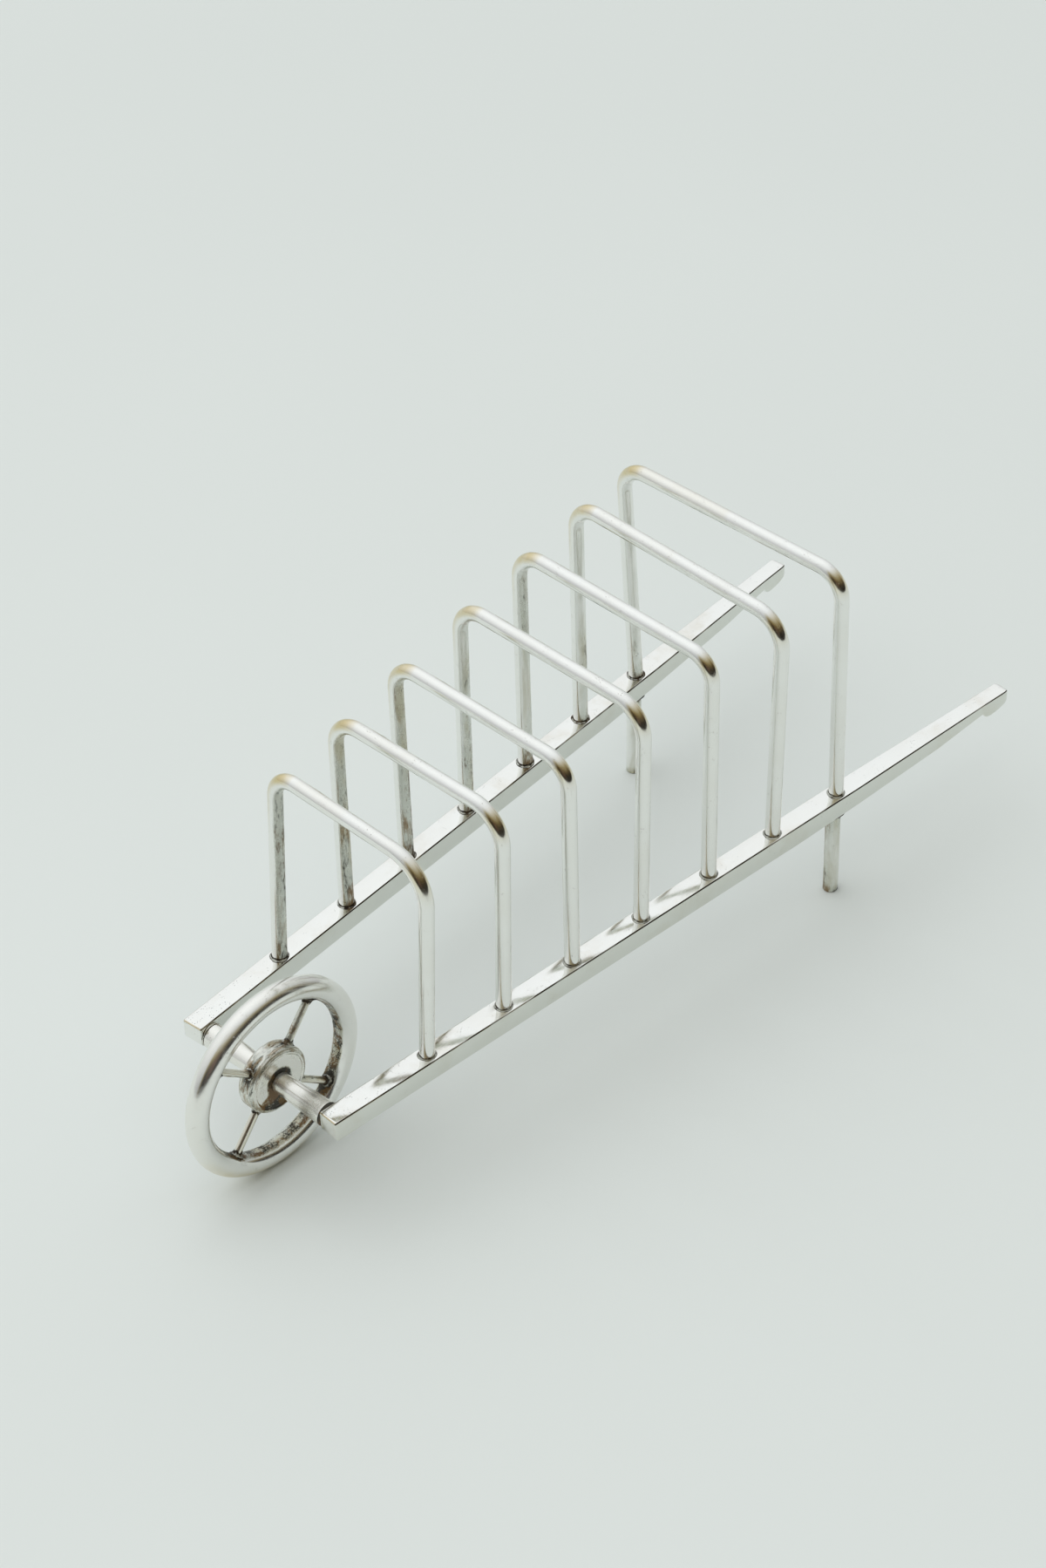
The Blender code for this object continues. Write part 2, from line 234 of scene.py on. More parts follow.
SILVER = (0.90, 0.905, 0.875)
WARM_SILVER = (0.85, 0.84, 0.79)
BRASS = (0.70, 0.59, 0.33)
DULL_BRASS = (0.50, 0.38, 0.17)
GREEN_GREY = (0.60, 0.625, 0.56)
OLIVE = (0.50, 0.47, 0.33)
BROWN = (0.17, 0.10, 0.05)
BLACK = (0.022, 0.018, 0.014)
RUST = (0.26, 0.155, 0.06)
HAZE = (0.74, 0.70, 0.61)
# Colour of the painted dark reflection along the rails' top edges.
DARK_EDGE_REFLECTION = (0.055, 0.038, 0.018)
DARK_SOLDER = (0.045, 0.036, 0.028)
WARM_SOLDER = (0.11, 0.08, 0.05)
RUBBED_SOLDER = (0.57, 0.58, 0.52)
CLOTH = (0.705, 0.745, 0.726)
LIGHTER_CLOTH = (0.715, 0.755, 0.736)


def silver_base(nodes, roughness, waviness, pitting=0.0):
    """Polished plate: its colour, roughness, and a hand-polished surface with fine pits."""
    cloudy = nodes.ramp(nodes.noise(90.0, 4.0, 0.6), 0.35, 0.75)
    colour = nodes.mix(nodes.math("MULTIPLY", cloudy, 0.45), SILVER, WARM_SILVER)
    rough = nodes.ramp(nodes.noise(420.0, 3.0, 0.65), 0.3, 0.8, roughness * 0.75, roughness * 1.35)
    waves = nodes.noise(170.0, 1.0, 0.4)
    pits = nodes.ramp(nodes.cells(2000.0), 0.07, 0.23)
    picked = nodes.ramp(nodes.math("ADD", nodes.noise(420.0, 2.0), pitting), 0.55, 0.66)
    pitted = nodes.math("MULTIPLY", nodes.math("SUBTRACT", 1.0, pits), picked)
    normal = nodes.bump(waves, waviness)
    normal = nodes.bump(nodes.math("MULTIPLY", pitted, -1.0), 0.00004, normal)
    return colour, rough, normal, pitted


def rail_silver():
    """Flat polished bar; its upper edges are worn through to the base metal near the front, and a
    painted dark reflection runs along its top edges.
    """
    nodes = Surface("rail_silver")
    front, drop = nodes.attribute("front"), nodes.attribute("drop")
    top = nodes.ramp(drop, 0.0009, 0.0005)
    pitting = nodes.math("MULTIPLY_ADD", nodes.math("MULTIPLY", front, top), 0.22, -0.03)
    colour, rough, normal, pitted = silver_base(nodes, 0.085, 0.00003, pitting)
    haze = nodes.math("MULTIPLY", nodes.ramp(nodes.noise(75.0, 4.0, 0.6), 0.50, 0.72), 0.55)
    colour = nodes.mix(haze, colour, HAZE)
    pit_share = nodes.math("MULTIPLY_ADD", front, 0.55, 0.30)
    colour = nodes.mix(nodes.math("MULTIPLY", pitted, pit_share), colour, BLACK)
    across = nodes.attribute("across")
    off_middle = nodes.math("ABSOLUTE", across)
    at_side = nodes.ramp(off_middle, 0.90, 0.965)
    flank = nodes.math("MULTIPLY", nodes.ramp(off_middle, 0.97, 0.995), 0.45)
    colour = nodes.mix(flank, colour, GREEN_GREY)
    near_top = nodes.ramp(drop, 0.00042, 0.00012)
    at_front = nodes.attribute("front_edge")
    edge = nodes.math("MULTIPLY", nodes.math("MAXIMUM", at_side, at_front), near_top)
    worn = nodes.ramp(nodes.math("MULTIPLY_ADD", front, 0.35, nodes.noise(350.0, 3.0)), 0.45, 0.75)
    worn = nodes.math("MULTIPLY", nodes.math("MULTIPLY", edge, worn), 0.8)
    colour = nodes.mix(worn, colour, DULL_BRASS)
    # Painted dark reflection: a thin dark line along the top's left edge, fainter along its right edge,
    # broken up by noise.
    left_edge = nodes.ramp(across, -0.885, -0.93)
    left_edge = nodes.math("MULTIPLY", left_edge, nodes.ramp(drop, 0.00034, 0.00016))
    right_edge = nodes.ramp(across, 0.93, 0.97)
    right_edge = nodes.math("MULTIPLY", right_edge, nodes.ramp(drop, 0.0002, 0.0001))
    both_edges = nodes.math("MULTIPLY_ADD", right_edge, 0.55, left_edge)
    broken = nodes.ramp(nodes.noise(130.0, 3.0), 0.30, 0.55, 0.35, 1.0)
    line = nodes.math("MULTIPLY", both_edges, broken)
    colour = nodes.mix(line, colour, DARK_EDGE_REFLECTION)
    scratches = nodes.noise(2600.0, 2.0, 0.5, nodes.scaled(nodes.place, (0.12, 1.0, 1.0)))
    normal = nodes.bump(scratches, 0.000004, normal)
    return nodes.finish(colour, rough, normal)


def wire_silver(
    name, roughness=0.17, stretch=0.24, cloud=(0.85, 1.30), soot=(1.34, 1.57), grain=1.0, metallic=0.97
):
    """Silver, bright where its "dull" attribute is low and darkened where it is high: by tarnish, and
    on some pieces by painted shade.

    Tarnish is drawn out along the wire by stretch; cloud and soot are the ranges over which its
    grey film and its black streaks come in, and grain scales the size of its patches.
    """
    nodes = Surface(name)
    colour, rough, normal, pitted = silver_base(nodes, roughness, 0.00002)
    colour = nodes.mix(nodes.math("MULTIPLY", pitted, 0.7), colour, BROWN)
    brass_patch = nodes.ramp(nodes.noise(240.0, 2.0), 0.25, 0.6, 0.65, 1.0)
    colour = nodes.mix(nodes.math("MULTIPLY", nodes.attribute("brass"), brass_patch), colour, BRASS)

    drawn = nodes.noise(1800.0, 2.0, 0.5, nodes.unrolled((1.0, 1.0, 0.05)))
    normal = nodes.bump(drawn, 0.000008, normal)
    along = nodes.unrolled((1.0, 1.0, stretch))
    patch = nodes.noise(260.0 * grain, 4.0, 0.62, along, 0.4)
    streak = nodes.noise(1300.0 * grain, 4.0, 0.7, along)
    fine = nodes.noise(4200.0, 3.0, 0.6, along)
    dull = nodes.attribute("dull")
    cover = nodes.ramp(nodes.math("MULTIPLY_ADD", patch, 0.9, dull), *cloud)
    olive = nodes.ramp(nodes.noise(150.0, 3.0, 0.6, along), 0.45, 0.62)
    film = nodes.mix(olive, GREEN_GREY, OLIVE)
    colour = nodes.mix(nodes.math("MULTIPLY", cover, 0.80), colour, film)
    dark = nodes.math("MULTIPLY_ADD", streak, 0.70, nodes.math("MULTIPLY", patch, 0.85))
    dark = nodes.math("MULTIPLY_ADD", fine, 0.30, dark)
    dark = nodes.ramp(nodes.math("MULTIPLY_ADD", dull, 0.50, dark), *soot)
    warm = nodes.ramp(nodes.noise(170.0, 2.0, 0.5, along), 0.54, 0.62)
    colour = nodes.mix(nodes.math("MULTIPLY", dark, 0.92), colour, nodes.mix(warm, BLACK, BROWN))
    rusty = nodes.ramp(nodes.noise(190.0 * grain, 3.0, 0.5, along, 0.3), 0.52, 0.59)
    rusty = nodes.math("MULTIPLY", rusty, nodes.ramp(dull, 0.60, 0.85))
    rusty = nodes.math("MULTIPLY", rusty, nodes.ramp(streak, 0.36, 0.50))
    colour = nodes.mix(nodes.math("MULTIPLY", rusty, 0.70), colour, RUST)
    rough = nodes.math("MULTIPLY_ADD", cover, 0.12, rough)
    rough = nodes.math("MULTIPLY_ADD", dark, 0.25, rough, clamp=True)
    normal = nodes.bump(nodes.math("MULTIPLY", dark, -1.0), 0.00004, normal)
    return nodes.finish(colour, rough, normal, metallic)


def solder_and_gap_shade():
    """Solder gone dark at its edges, with a few bright rubbed spots between; it also colours the black
    rings of painted shade at the axle.
    """
    nodes = Surface("solder_and_gap_shade")
    blotch = nodes.noise(1000.0, 4.0, 0.6)
    shine = nodes.math("MULTIPLY_ADD", nodes.attribute("rim"), -0.32, blotch)
    bright = nodes.ramp(shine, 0.24, 0.44)
    warm = nodes.ramp(nodes.noise(600.0, 3.0), 0.46, 0.60)
    colour = nodes.mix(bright, nodes.mix(warm, DARK_SOLDER, WARM_SOLDER), RUBBED_SOLDER)
    rough = nodes.ramp(bright, 0.0, 1.0, 0.5, 0.25)
    normal = nodes.bump(nodes.noise(1600.0, 3.0, 0.6), 0.00008)
    return nodes.finish(colour, rough, normal)


# ---------------------------------------------------------------- mesh helpers


def new_piece(name, mesh, material, body, slot, *nodes):
    """Link a piece, let it ride on its CAD body and stand for its CAD nodes, if it has any."""
    mesh.materials.append(material)
    obj = bpy.data.objects.new(name, mesh)
    bpy.context.scene.collection.objects.link(obj)
    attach(obj, body)
    if nodes:
        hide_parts(*nodes)


def loft(name, rings, values, closed=False, sharp=35.0):
    """Join rings of points into a solid, capped at its ends or, when closed, joined end to end.

    values holds numbers or vectors, one per point, by the name of the attribute they go in.
    """
    bm = bmesh.new()
    grid = [[bm.verts.new(point) for point in ring] for ring in rings]
    pairs = list(zip(grid, grid[1:]))
    if closed:
        pairs.append((grid[-1], grid[0]))
    for ring, following in pairs:
        sides = len(ring)
        for side in range(sides):
            after = (side + 1) % sides
            bm.faces.new((ring[side], ring[after], following[after], following[side]))
    if not closed:
        bm.faces.new(list(reversed(grid[0])))
        bm.faces.new(grid[-1])
    bmesh.ops.recalc_face_normals(bm, faces=bm.faces)
    mesh = bpy.data.meshes.new(name)
    bm.to_mesh(mesh)
    bm.free()
    mesh.shade_smooth()
    mesh.set_sharp_from_angle(angle=math.radians(sharp))
    for key, numbers in values.items():
        if isinstance(numbers[0], float):
            mesh.attributes.new(key, "FLOAT", "POINT").data.foreach_set("value", numbers)
        else:
            flat = [number for vector in numbers for number in vector]
            mesh.attributes.new(key, "FLOAT_VECTOR", "POINT").data.foreach_set("vector", flat)
    return mesh


def worn_piece(node, rings, wear, material, body, slot="silver", closed=False):
    """The finer piece for a node, with its marks: how dull (tarnish, and on some pieces painted shade),
    how brassy, and its place unrolled.
    """
    mesh = loft("silver_" + node, rings, dict(zip(("dull", "brass", "unrolled"), wear)), closed)
    new_piece("silver_" + node, mesh, material, body, slot, node)


def ring_round(centre, across, up, radius, sides):
    points = []
    for side in range(sides):
        angle = part_turn(side, sides)
        points.append(centre + across * (radius * math.cos(angle)) + up * (radius * math.sin(angle)))
    return points


def on_circle(radius, angle):
    return radius * math.cos(angle), radius * math.sin(angle)


def turned_rings(profile, sides, origin, axis, across):
    """Rings of a turned piece from (radius, height) points along its axis."""
    up = axis.cross(across)
    return [ring_round(origin + axis * height, across, up, radius, sides) for radius, height in profile]


# ---------------------------------------------------------------- rails

EDGE_STEPS = 4
FRONT_REGION = 0.0012
STRAIGHT_FROM = 0.003
WORN_FRONT_LENGTH = 0.022


def quarter_ellipse(share):
    """0 at share 0, rising ever more slowly to 1 at share 1."""
    return math.sqrt(max(0.0, 1.0 - (1.0 - min(1.0, share)) ** 2))


def handle_depth(from_end):
    """Depth of the underside below the top face, a distance ahead of the handle's tip."""
    if from_end >= TAPER_LENGTH:
        return RAIL_SIZE
    if from_end >= GRIP_LENGTH:
        share = (from_end - GRIP_LENGTH) / (TAPER_LENGTH - GRIP_LENGTH)
        return GRIP_DEPTH + (RAIL_SIZE - GRIP_DEPTH) * share
    if from_end >= LOBE_LENGTH:
        share = (from_end - LOBE_LENGTH) / (GRIP_LENGTH - LOBE_LENGTH)
        return NECK_DEPTH + (GRIP_DEPTH - NECK_DEPTH) * share
    if from_end >= LOBE_DEEPEST:
        share = (LOBE_LENGTH - from_end) / (LOBE_LENGTH - LOBE_DEEPEST)
        return NECK_DEPTH + (LOBE_DEPTH - NECK_DEPTH) * quarter_ellipse(share)
    return TIP_DEPTH + (LOBE_DEPTH - TIP_DEPTH) * quarter_ellipse(from_end / LOBE_DEEPEST)


def rail_section(along, length):
    """Half-width, top and bottom of the rail at a distance from its front face.

    Heights are from the flat top face.
    """
    from_end = length - along
    rounding = quarter_ellipse(from_end / TIP_LENGTH)
    fall = quarter_ellipse(from_end / TOP_ROUNDING)
    width_share = min(1.0, max(0.0, (from_end - LOBE_LENGTH) / NARROWING_LENGTH))
    half_width = LOBE_HALF_WIDTH + (RAIL_SIZE / 2 - LOBE_HALF_WIDTH) * width_share
    half_width = TIP_HALF_WIDTH + (half_width - TIP_HALF_WIDTH) * rounding
    top = -TOP_FALL * (1.0 - fall)
    share = max(0.0, 1.0 - along / RAIL_FRONT_ROUNDING)
    rise = RAIL_FRONT_ROUNDING * (1.0 - math.sqrt(1.0 - share**2))
    return half_width, top, -handle_depth(from_end) + rise


def rail_ring(along, length, edge):
    """A rounded rectangle of points across the rail."""
    half_width, top, bottom = rail_section(along, length)
    edge = min(edge, half_width * 0.98, (top - bottom) * 0.49)
    points = []
    for corner_y, corner_z, start in ((1, 1, 0.0), (-1, 1, 90.0), (-1, -1, 180.0), (1, -1, 270.0)):
        middle_y = corner_y * (half_width - edge)
        middle_z = top - edge if corner_z > 0 else bottom + edge
        for step in range(EDGE_STEPS + 1):
            out, rise = on_circle(edge, math.radians(start + 90.0 * step / EDGE_STEPS))
            points.append(Vector((along, middle_y + out, middle_z + rise)))
    return points


def rail_stations(length):
    """Distances of the rings from the front face, closest together where the shape turns."""
    stations = [0.00003 + FRONT_REGION * (step / 8) ** 1.6 for step in range(9)]
    straight = length - TAPER_LENGTH
    stations += [STRAIGHT_FROM + (straight - STRAIGHT_FROM) * step / 46 for step in range(47)]
    stations += [straight + (TAPER_LENGTH - GRIP_LENGTH) * step / 12 for step in range(1, 13)]
    grip = GRIP_LENGTH - LOBE_LENGTH
    stations += [length - GRIP_LENGTH + grip * step / 14 for step in range(1, 15)]
    throat = LOBE_LENGTH - LOBE_DEEPEST
    for share in (0.1, 0.2, 0.35, 0.5, 0.7, 0.85, 1.0):
        stations.append(length - LOBE_LENGTH + throat * share**2)
    stations += [length - LOBE_DEEPEST * (1.0 - step / 12) for step in range(1, 8)]
    for share in (1.0, 0.92, 0.84, 0.75, 0.66, 0.56, 0.46, 0.36, 0.26, 0.16, 0.08):
        stations.append(length - TIP_LENGTH * share**2)
    return sorted(set(round(station, 7) for station in stations))


def make_rail(side, material):
    front_x = AXLE_X - RAIL_FRONT_AHEAD_OF_AXLE
    end_x = AXLE_X + RAIL_END_BEHIND_AXLE
    turn = side * math.atan(RAIL_SPLAY)
    length = (end_x - front_x) / math.cos(turn)
    place = Matrix.Translation((front_x, side * half_span(front_x), RAIL_TOP))
    place = place @ Matrix.Rotation(turn, 4, "Z")
    rings, front, across, drop, front_edge = [], [], [], [], []
    for along in rail_stations(length):
        half_width, top, _bottom = rail_section(along, length)
        shrink = 1.0 - 0.05 * max(0.0, 1.0 - along / RAIL_EDGE)
        ring = []
        for point in rail_ring(along, length, RAIL_EDGE):
            across.append(point.y / half_width)
            drop.append(top - point.z)
            front.append(math.exp(-along / WORN_FRONT_LENGTH))
            front_edge.append(smooth(0.00035, 0.00005, along))
            point.y *= shrink
            point.z = -RAIL_SIZE / 2 + (point.z + RAIL_SIZE / 2) * shrink
            ring.append(place @ point)
        rings.append(ring)
    name = "rail_" + SIDE_NAMES[side]
    values = {"front": front, "across": across, "drop": drop, "front_edge": front_edge}
    mesh = loft("silver_" + name, rings, values)
    new_piece("silver_" + name, mesh, material, "frame", "silver", name)


# ---------------------------------------------------------------- hoops and legs

WIRE_SIDES = 32
BEND_STEPS = 18
STRAIGHT_STEP = 0.0016
FILLET_SIDES = 28

# How far the inner side of each hoop's legs has tarnished, from bright at 0 to black at 1.
TARNISH = {1: 0.85, 2: 1.0, 3: 1.0, 4: 0.60, 5: 0.55, 6: 0.30, 7: 0.20}


def straight_run(start, end):
    count = max(1, round((end - start).length / STRAIGHT_STEP))
    return [start.lerp(end, step / count) for step in range(count)]


def hoop_path(behind, lean, *corners):
    """Centreline points of a hoop, and the direction across its plane."""
    x = AXLE_X + FIRST_HOOP_BEHIND_AXLE + behind
    lean = math.radians(lean)
    feet, crown = [], []
    for side, (height, outwards, _bend) in zip((LEFT, RIGHT), corners):
        feet.append(Vector((x, side * half_span(x), RAIL_TOP)))
        rise = Vector((height * math.sin(lean), side * outwards, height * math.cos(lean)))
        crown.append(feet[-1] + rise)
    sunk = UPWARDS * -WIRE_SUNK
    points = [feet[0] + sunk, *crown, feet[1] + sunk]
    places, last = [], points[0]
    for before, corner, after, spec in zip(points, points[1:], points[2:], corners):
        radius = spec[2]
        back = (before - corner).normalized()
        ahead = (after - corner).normalized()
        half_angle = back.angle(ahead) / 2
        middle = corner + (back + ahead).normalized() * radius / math.sin(half_angle)
        start = corner + back * radius / math.tan(half_angle)
        places += straight_run(last, start)
        sweep = math.pi - 2 * half_angle
        normal = back.cross(ahead)
        for step in range(BEND_STEPS):
            turn = Matrix.Rotation(-sweep * step / BEND_STEPS, 3, normal)
            places.append(middle + turn @ (start - middle))
        last = middle + Matrix.Rotation(-sweep, 3, normal) @ (start - middle)
    places += straight_run(last, points[-1])
    places.append(points[-1])
    return places, (crown[0] - feet[0]).cross(crown[1] - crown[0]).normalized()


def make_hoop(number, spec, material):
    places, plane_normal = hoop_path(*spec)
    crown_z = max(place.z for place in places)
    rings, dull, brass, unrolled = [], [], [], []
    run = 0.0
    for index, place in enumerate(places):
        before = places[max(0, index - 1)]
        after = places[min(len(places) - 1, index + 1)]
        run += (place - before).length
        tangent = (after - before).normalized()
        inward = plane_normal.cross(tangent).normalized()
        if inward.dot(Vector((place.x, 0.0, RAIL_TOP)) - place) < 0.0:
            inward = -inward
        upright = abs(tangent.z)
        bend = 4.0 * upright * (1.0 - upright)
        if place.y < 0.0:
            shoulder = bend * smooth(0.35, 0.75, upright)
        else:
            below_crown = smooth(0.018, 0.004, crown_z - place.z)
            shoulder = max(bend, 0.5 * below_crown * smooth(0.03, 0.5, upright))
        foot = math.exp(-max(0.0, place.z - RAIL_TOP) / 0.0028)
        rings.append(ring_round(place, plane_normal, inward, WIRE_RADIUS, WIRE_SIDES))
        on_leg = smooth(0.35, 0.95, upright)
        for side in range(WIRE_SIDES):
            angle = part_turn(side, WIRE_SIDES)
            facing = math.sin(angle)
            tarnish = smooth(0.05, 0.80, facing) * (0.40 + 0.52 * TARNISH[number])
            # The crown's underside is darker: dark tarnish specks, with painted shade on the side
            # facing down.
            under_crown = (1.0 - on_leg) * smooth(-0.25, 0.55, facing) * 0.80
            dull.append(on_leg * tarnish + 0.35 * foot + under_crown)
            brass.append(shoulder * smooth(-0.25, 0.55, -facing))
            unrolled.append((*on_circle(WIRE_RADIUS, angle), run + 0.3 * number))
    worn_piece(f"hoop_{number}", rings, (dull, brass, unrolled), material, "frame")


# Round a fillet's section: share of the way out from the wire, share of its height, how grimy.
FILLET_PROFILE = (
    (-0.10, 1.00, 1.0), (0.08, 0.97, 0.8), (0.22, 0.62, 0.3), (0.42, 0.34, 0.0),
    (0.72, 0.16, 0.15), (0.95, 0.07, 0.6), (1.00, -0.04, 1.0), (-0.10, -0.05, 1.0),
)


def fillet_rings(origin, up, across, seed, wire, base, height):
    """Lumpy solder round a wire: thin at its skirt and climbing a little up the wire."""
    ahead = up.cross(across)
    skirt = base - wire
    rings = []
    for level, (out, rise, _grime) in enumerate(FILLET_PROFILE):
        ring = []
        for side in range(FILLET_SIDES):
            angle = part_turn(side, FILLET_SIDES)
            direction = across * math.cos(angle) + ahead * math.sin(angle)
            wobble = noise.noise(direction * 1.3 + Vector((seed * 3.7, 0.0, 0.0)))
            wobble += 0.5 * noise.noise(direction * 3.1 + Vector((0.0, seed * 2.3, level * 0.5)))
            reach = skirt * out * (1.0 + 0.45 * wobble) if out > 0.0 else skirt * out
            lift = height * rise * (1.0 + 0.5 * wobble) if rise > 0.0 else height * rise
            ring.append(origin + direction * (wire + reach) + up * lift)
        rings.append(ring)
    return rings


def make_fillet(name, rings, material, body, grime, *nodes):
    rim = []
    for _out, _rise, level in FILLET_PROFILE:
        rim += [level + grime] * FILLET_SIDES
    mesh = loft("fillet_" + name, rings, {"rim": rim}, closed=True, sharp=70.0)
    new_piece("fillet_" + name, mesh, material, body, "solder", *nodes)


def make_hoop_solder(number, behind, side, material):
    x = AXLE_X + FIRST_HOOP_BEHIND_AXLE + behind
    origin = Vector((x, side * half_span(x), RAIL_TOP))
    node = f"hoop_{number}_solder_{SIDE_NAMES[side]}"
    grime = 0.40 if side == RIGHT else 0.0
    seed = number * 2 + (side > 0)
    rings = fillet_rings(origin, UPWARDS, ALONG_X, seed, WIRE_RADIUS, 0.0021 + 0.0002 * grime, 0.0005)
    make_fillet(node, rings, material, "frame", grime, node)


def make_leg(side, material):
    x = AXLE_X + LEG_BEHIND_AXLE
    y = side * half_span(x)
    underside = RAIL_TOP - RAIL_SIZE
    top = Vector((x, y, underside + WIRE_SUNK))
    foot = Vector((x - LEG_LEAN, y, 0.0))
    all_over = 0.62 if side == LEFT else 0.40
    steps = 16
    rings, dull, brass, unrolled = [], [], [], []
    for step in range(steps + 3):
        if step < 2:
            place = foot + Vector((0.0, 0.0, 0.00002 + 0.00015 * step))
            radius = WIRE_RADIUS - 0.00018 * (1.0 - step)
        else:
            place = foot.lerp(top, 0.03 + 0.97 * (step - 2) / steps)
            radius = WIRE_RADIUS
        if step == 0:
            place = foot.copy()
        ring = ring_round(place, ALONG_X, ALONG_Y, radius, WIRE_SIDES)
        ends = 0.4 * math.exp(-abs(underside - place.z) / 0.003) + 0.45 * math.exp(-place.z / 0.0012)
        for point in ring:
            inner = smooth(-0.1, 0.8, -side * (point.y - place.y) / WIRE_RADIUS)
            dull.append(all_over + 0.12 * inner + ends)
            brass.append(0.0)
            unrolled.append((point.x - place.x, point.y - place.y, place.z + side))
        rings.append(ring)
    worn_piece("leg_" + SIDE_NAMES[side], rings, (dull, brass, unrolled), material, "frame")


def make_leg_solder(side, material):
    x = AXLE_X + LEG_BEHIND_AXLE
    origin = Vector((x, side * half_span(x), RAIL_TOP - RAIL_SIZE))
    node = "leg_solder_" + SIDE_NAMES[side]
    rings = fillet_rings(origin, -UPWARDS, ALONG_X, 40 + side, WIRE_RADIUS, 0.0025, 0.0011)
    make_fillet(node, rings, material, "frame", 0.3, node)


# ---------------------------------------------------------------- wheel

AXLE = Vector((AXLE_X, -WHEEL_TOWARDS_LEFT, WHEEL_RADIUS))
AXIS = ALONG_Y
WORN_SIDE = Vector((-0.35, 0.0, -0.94))
HUB_SIDES = 96
SPOKE_SIDES = 20
SPOKE_JOINT = 0.0011
ARM_SIDES = 48
GRIME_SIDES = 40


def spoke_direction(number):
    angle = FIRST_SPOKE_ANGLE + part_turn(number, SPOKE_COUNT)
    return Vector((math.cos(angle), 0.0, math.sin(angle)))


def make_rim(material):
    around, sides = 180, 40
    ring_radius = WHEEL_RADIUS - RIM_WIRE_RADIUS
    rings, dull, brass, unrolled = [], [], [], []
    for index in range(around):
        angle = part_turn(index, around) - math.pi
        outwards = Vector((-math.sin(angle), 0.0, math.cos(angle)))
        rings.append(ring_round(AXLE + outwards * ring_radius, outwards, AXIS, RIM_WIRE_RADIUS, sides))
        joint = 0.0
        for number in range(SPOKE_COUNT):
            away = 1.0 - outwards.dot(spoke_direction(number))
            joint = max(joint, math.exp(-away / 0.006))
        worn = smooth(0.60, 1.0, outwards.dot(WORN_SIDE))
        for side in range(sides):
            turn = part_turn(side, sides)
            inner = -math.cos(turn)
            dull.append(1.15 * smooth(0.62, 0.95, inner) + 0.7 * joint * smooth(0.2, 0.9, inner))
            brass.append((0.06 + 0.60 * worn) * smooth(-0.2, 0.8, math.cos(turn)))
            unrolled.append((*on_circle(RIM_WIRE_RADIUS, turn), ring_radius * abs(angle)))
    worn_piece("wheel_rim", rings, (dull, brass, unrolled), material, "wheel", closed=True)


def hub_profile():
    """Half of the drum's outline as (radius, height), from its side to its face's middle."""
    rise, width, half = HUB_SHOULDER_RISE, HUB_SHOULDER_WIDTH, HUB_HALF_WIDTH
    profile = [(HUB_RADIUS, 0.0), (HUB_RADIUS, 0.0006), (HUB_RADIUS, half - width)]
    for step in range(1, 13):
        angle = math.pi / 2 * step / 12
        groove = 0.00004 if step in (4, 7, 9) else 0.0
        radius = HUB_RADIUS - rise * (1.0 - math.cos(angle)) - groove
        profile.append((radius, half - width * (1.0 - math.sin(angle)) - groove))
    lip = HUB_RADIUS - rise
    for inside, depth in ((0.00012, 0.0), (0.00025, 0.00012), (0.00042, 0.00012), (0.0006, 0.00004)):
        profile.append((lip - inside, half - depth))
    for radius in (0.0056, 0.0048, 0.0042, 0.0037, 0.0032, 0.0028, 0.0025, 0.0008):
        profile.append((radius, half - 0.00008))
    return profile


def make_hub(material):
    """A drum with rounded shoulders and fine turned lines round each face."""
    half = hub_profile()
    profile = [(radius, -height) for radius, height in reversed(half[1:])] + half
    rings = turned_rings(profile, HUB_SIDES, AXLE, AXIS, ALONG_X)
    lip = HUB_RADIUS - HUB_SHOULDER_RISE
    up = AXIS.cross(ALONG_X)
    dull, brass, unrolled = [], [], []
    for radius, height in profile:
        on_face = 1.0 if radius < lip + 0.00005 else 0.0
        root = 1.55 * on_face * smooth(0.0022, 0.0004, radius - ARM_ROOT_RADIUS)
        line = 0.6 * on_face * smooth(0.00020, 0.00008, abs(radius - lip + 0.00033))
        side_band = (1.0 - on_face) * smooth(0.0016, 0.0004, abs(height))
        for side in range(HUB_SIDES):
            turn = part_turn(side, HUB_SIDES)
            outwards = ALONG_X * math.cos(turn) + up * math.sin(turn)
            away = min(1.0 - outwards.dot(spoke_direction(n)) for n in range(SPOKE_COUNT))
            stain = on_face * smooth(0.55, 0.95, outwards.dot(WORN_SIDE))
            side_dull = (1.0 - on_face) * 0.62 + 0.85 * side_band * math.exp(-away / 0.05)
            dull.append(min(1.6, root + line + side_dull + 1.15 * stain + 0.15))
            brass.append(0.10)
            unrolled.append((*on_circle(radius, turn), height * 6.0))
    worn_piece("wheel_hub", rings, (dull, brass, unrolled), material, "wheel")


